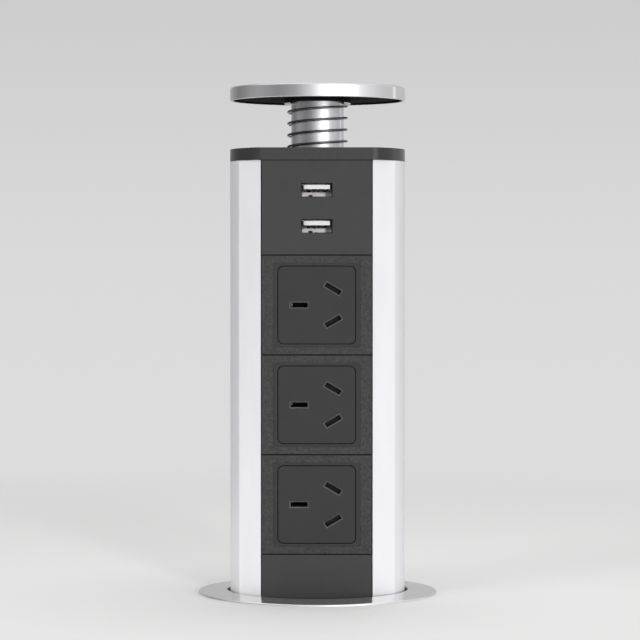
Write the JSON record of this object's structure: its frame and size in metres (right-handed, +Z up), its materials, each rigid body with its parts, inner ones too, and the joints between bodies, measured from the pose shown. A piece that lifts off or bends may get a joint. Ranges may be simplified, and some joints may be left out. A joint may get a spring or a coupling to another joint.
{
  "type": "pop up desk socket",
  "caption": "Round aluminium tower that pulls up through a desk ring, with flat-pin sockets and charging ports on its flat black front and a sprung lid on a post.",
  "frame": {"origin": "middle of the desk hole on the desk's top face, which is the trim ring's underside", "axes": "+Z up along the tower, -Y is the way the sockets face, +X to the right seen from the front"},
  "size_m": [0.1026, 0.1026, 0.2831],
  "materials": {
    "ring_aluminium": "satin",
    "shell_aluminium": "matt anodised",
    "lid_aluminium": "turned, satin",
    "post_metal": "polished",
    "panel_plastic": "fine grained",
    "insert_plastic": "smooth matt",
    "collar_plastic": "matt",
    "shutter_plastic": "smooth",
    "liner_plastic": "matt",
    "white_plastic": "moulded",
    "bush_plastic": "moulded",
    "port_steel": "bright sheet",
    "spring_steel": "dark drawn wire",
    "screw_steel": "plated",
    "contact_brass": "stamped",
    "board_resin": "solder resist",
    "board_parts": "moulded",
    "wire_sheath": "extruded",
    "pad_felt": "felt",
    "seal_rubber": "matt"
  },
  "bodies": {
    "mounting": {"trim_ring": "ring_aluminium", "collar": "collar_plastic", "glide_pads": "pad_felt"},
    "clamp": {"clamp_washer": "screw_steel"},
    "nut": {"ring_nut": "collar_plastic"},
    "tower": {"tower_shell": "shell_aluminium", "top_cap": "panel_plastic", "cap_screws": "screw_steel", "post_bush": "bush_plastic", "latch_bracket": "screw_steel", "latch_body": "collar_plastic", "bracket_screws": "screw_steel", "usb_plate": "panel_plastic", "usb_shell_upper": "port_steel", "usb_shell_lower": "port_steel", "usb_tongues": "white_plastic", "usb_pins": "contact_brass", "usb_board": "board_resin", "usb_parts": "board_parts", "usb_leads": "wire_sheath", "socket_frame_upper": "panel_plastic", "socket_frame_middle": "panel_plastic", "socket_frame_lower": "panel_plastic", "socket_insert_upper": "insert_plastic", "socket_insert_middle": "insert_plastic", "socket_insert_lower": "insert_plastic", "contact_housing": "white_plastic", "live_bar": "contact_brass", "neutral_bar": "contact_brass", "earth_bar": "contact_brass", "blank_panel": "panel_plastic", "bottom_cap": "collar_plastic", "bottom_screws": "screw_steel", "terminal_block": "white_plastic", "terminal_screws": "screw_steel", "inner_wires": "wire_sheath", "gland_body": "collar_plastic", "gland_locknut": "collar_plastic", "gland_seal": "seal_rubber", "gland_nut": "collar_plastic", "lid_spring": "spring_steel"},
    "shutter_top": {"shutter_upper": "shutter_plastic"},
    "shutter_mid": {"shutter_middle": "shutter_plastic"},
    "shutter_low": {"shutter_lower": "shutter_plastic"},
    "lid": {"lid_shell": "lid_aluminium", "lid_liner": "liner_plastic", "lid_boss": "liner_plastic", "spring_washer": "screw_steel", "post": "post_metal", "post_screw": "screw_steel", "post_clip": "screw_steel", "latch_striker": "screw_steel"}
  },
  "joints": [
    {"name": "tower_lift", "type": "slide", "parent": "mounting", "child": "tower", "axis": [0, 0, 1], "range_m": [-0.2016, 0]},
    {"name": "lid_press", "type": "slide", "parent": "tower", "child": "lid", "axis": [0, 0, 1], "range_m": [-0.014, 0], "stiffness_N_per_m": 320, "springref_m": 0.012, "deforming": ["lid_spring"]},
    {"name": "clamp_slide", "type": "slide", "parent": "mounting", "child": "clamp", "axis": [0, 0, 1], "range_m": [-0.00705, 0.01305]},
    {"name": "nut_turn", "type": "hinge", "parent": "clamp", "child": "nut", "pos_m": [0, 0, -0.032], "axis": [0, 0, 1], "range_deg": [-840, 1560]},
    {"name": "shutter_top_slide", "type": "slide", "parent": "tower", "child": "shutter_top", "axis": [0, 0, 1], "range_m": [-0.003, 0], "stiffness_N_per_m": 100, "springref_m": 0.004},
    {"name": "shutter_mid_slide", "type": "slide", "parent": "tower", "child": "shutter_mid", "axis": [0, 0, 1], "range_m": [-0.003, 0], "stiffness_N_per_m": 100, "springref_m": 0.004},
    {"name": "shutter_low_slide", "type": "slide", "parent": "tower", "child": "shutter_low", "axis": [0, 0, 1], "range_m": [-0.003, 0], "stiffness_N_per_m": 100, "springref_m": 0.004}
  ],
  "couplings": [
    {"joint": "clamp_slide", "follows": "nut_turn", "m_per_rad": 0.00047746}
  ]
}
